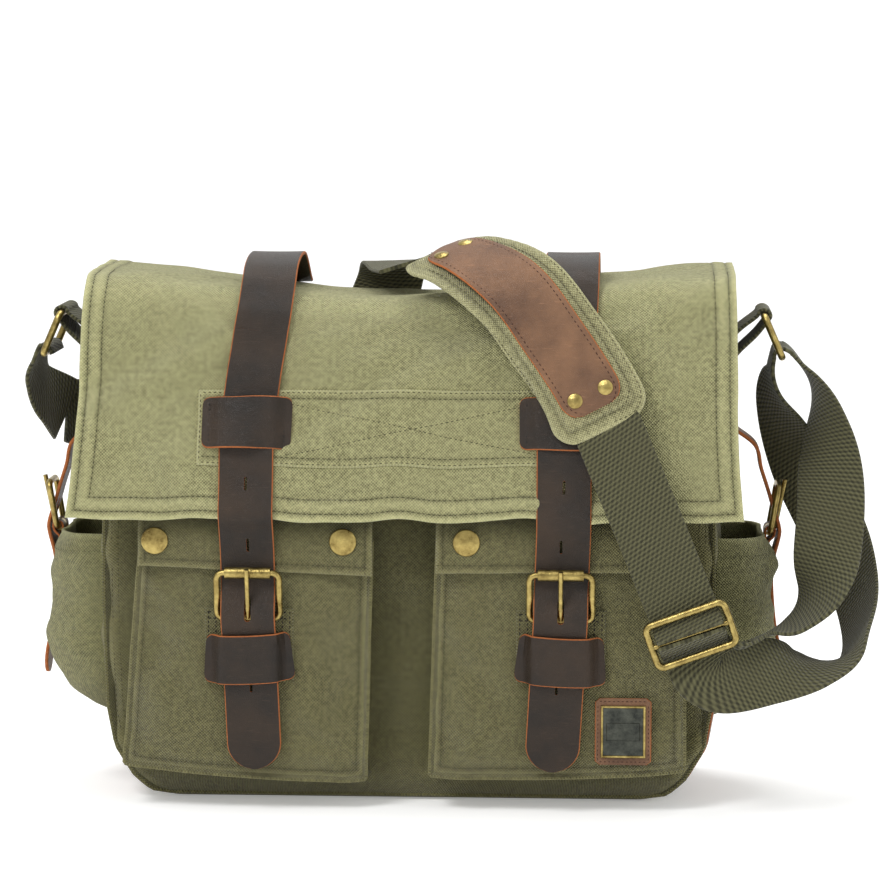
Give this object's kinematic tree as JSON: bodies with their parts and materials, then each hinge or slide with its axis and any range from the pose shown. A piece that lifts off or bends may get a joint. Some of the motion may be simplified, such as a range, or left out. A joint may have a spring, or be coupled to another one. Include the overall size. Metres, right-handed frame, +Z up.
{
  "type": "messenger bag",
  "caption": "Canvas messenger bag with a folding flap closed by two buckled leather straps, front and side pockets, and an adjustable padded shoulder strap.",
  "frame": {"origin": "middle of the base's underside", "axes": "+X along the bag's width, the front with the pockets faces -Y, +Z up"},
  "size_m": [0.4829, 0.1684, 0.3184],
  "materials": {
    "canvas": "washed waxed canvas",
    "leather": "oiled, raw edges",
    "brass": "antique",
    "webbing": "ribbed cotton webbing",
    "lining": "plain cotton",
    "board": "stiffener"
  },
  "bodies": {
    "bag": {"front_panel": "canvas", "back_panel": "canvas", "gusset_left": "canvas", "gusset_right": "canvas", "base_panel": "canvas", "base_board": "board", "lining": "lining", "inner_divider": "lining", "pocket_left": "canvas", "pocket_right": "canvas", "side_pocket_left": "canvas", "side_pocket_right": "canvas", "corner_patches": "leather", "snap_studs": "brass", "buckle_patches": "canvas", "chape_left": "leather", "chape_right": "leather", "keeper_left": "leather", "keeper_right": "leather", "badge_patch": "leather", "badge_plate": "brass", "ring_tab_left": "webbing", "ring_tab_right": "webbing", "side_strap_left": "leather", "side_strap_right": "leather", "side_chape_left": "leather", "side_chape_right": "leather", "slider": "brass", "webbing_loop": "webbing", "webbing_left": "webbing"},
    "flap_top": {"flap_top": "canvas", "strap_top_left": "leather", "strap_top_right": "leather"},
    "flap_front": {"flap_front": "canvas", "flap_band": "canvas", "flap_keeper_left": "leather", "flap_keeper_right": "leather", "strap_front_left": "leather", "strap_front_right": "leather", "shoulder_pad": "canvas", "pad_leather": "leather", "pad_rivets": "brass", "webbing_right": "webbing"},
    "pocket_flap_left": {"pocket_flap_left": "canvas", "snap_caps_left": "brass"},
    "buckle_left": {"buckle_frame_left": "brass"},
    "roller_left": {"buckle_roller_left": "brass"},
    "prong_left": {"buckle_prong_left": "brass"},
    "side_buckle_left": {"side_buckle_left": "brass"},
    "side_prong_left": {"side_prong_left": "brass"},
    "ring_left": {"ring_left": "brass"},
    "pocket_flap_right": {"pocket_flap_right": "canvas", "snap_caps_right": "brass"},
    "buckle_right": {"buckle_frame_right": "brass"},
    "roller_right": {"buckle_roller_right": "brass"},
    "prong_right": {"buckle_prong_right": "brass"},
    "side_buckle_right": {"side_buckle_right": "brass"},
    "side_prong_right": {"side_prong_right": "brass"},
    "ring_right": {"ring_right": "brass"}
  },
  "joints": [
    {"name": "flap_hinge", "type": "hinge", "parent": "bag", "child": "flap_top", "pos_m": [0, 0.0526, 0.2885], "axis": [-1, 0, 0], "range_deg": [0, 210], "deforming": ["strap_top_left", "strap_top_right", "webbing_left", "webbing_right", "webbing_loop"]},
    {"name": "flap_fold", "type": "hinge", "parent": "flap_top", "child": "flap_front", "pos_m": [0, -0.055, 0.291], "axis": [-1, 0, 0], "range_deg": [0, 75], "deforming": ["strap_front_left", "strap_front_right", "shoulder_pad", "pad_leather", "pad_rivets"]},
    {"name": "pocket_flap_left", "type": "hinge", "parent": "bag", "child": "pocket_flap_left", "pos_m": [-0.086, -0.051, 0.1775], "axis": [-1, 0, 0], "range_deg": [0, 76]},
    {"name": "buckle_left", "type": "hinge", "parent": "bag", "child": "buckle_left", "pos_m": [-0.086, -0.08161, 0.10813], "axis": [1, 0, 0], "range_deg": [0, 30]},
    {"name": "roller_left", "type": "hinge", "parent": "buckle_left", "child": "roller_left", "pos_m": [-0.086, -0.08492, 0.13392], "axis": [1, 0, 0], "continuous": true},
    {"name": "prong_left", "type": "hinge", "parent": "buckle_left", "child": "prong_left", "pos_m": [-0.086, -0.08161, 0.10813], "axis": [1, 0, 0], "range_deg": [0, 75]},
    {"name": "side_buckle_left", "type": "hinge", "parent": "bag", "child": "side_buckle_left", "pos_m": [-0.203, 0, 0.148], "axis": [0, -1, 0], "range_deg": [0, 30], "deforming": ["side_strap_left"]},
    {"name": "side_prong_left", "type": "hinge", "parent": "side_buckle_left", "child": "side_prong_left", "pos_m": [-0.203, 0, 0.148], "axis": [0, -1, 0], "range_deg": [0, 75]},
    {"name": "ring_left", "type": "hinge", "parent": "bag", "child": "ring_left", "pos_m": [-0.198, 0, 0.271], "axis": [0, 1, 0], "range_deg": [-20, 50]},
    {"name": "pocket_flap_right", "type": "hinge", "parent": "bag", "child": "pocket_flap_right", "pos_m": [0.086, -0.051, 0.1775], "axis": [-1, 0, 0], "range_deg": [0, 76]},
    {"name": "buckle_right", "type": "hinge", "parent": "bag", "child": "buckle_right", "pos_m": [0.086, -0.08161, 0.10813], "axis": [1, 0, 0], "range_deg": [0, 30]},
    {"name": "roller_right", "type": "hinge", "parent": "buckle_right", "child": "roller_right", "pos_m": [0.086, -0.08492, 0.13392], "axis": [1, 0, 0], "continuous": true},
    {"name": "prong_right", "type": "hinge", "parent": "buckle_right", "child": "prong_right", "pos_m": [0.086, -0.08161, 0.10813], "axis": [1, 0, 0], "range_deg": [0, 75]},
    {"name": "side_buckle_right", "type": "hinge", "parent": "bag", "child": "side_buckle_right", "pos_m": [0.203, 0, 0.148], "axis": [0, 1, 0], "range_deg": [0, 30], "deforming": ["side_strap_right"]},
    {"name": "side_prong_right", "type": "hinge", "parent": "side_buckle_right", "child": "side_prong_right", "pos_m": [0.203, 0, 0.148], "axis": [0, 1, 0], "range_deg": [0, 75]},
    {"name": "ring_right", "type": "hinge", "parent": "bag", "child": "ring_right", "pos_m": [0.198, 0, 0.271], "axis": [0, -1, 0], "range_deg": [-20, 50]}
  ],
  "couplings": [
    {"joint": "pocket_flap_left", "follows": "flap_fold", "ratio": 1},
    {"joint": "pocket_flap_right", "follows": "flap_fold", "ratio": 1}
  ]
}
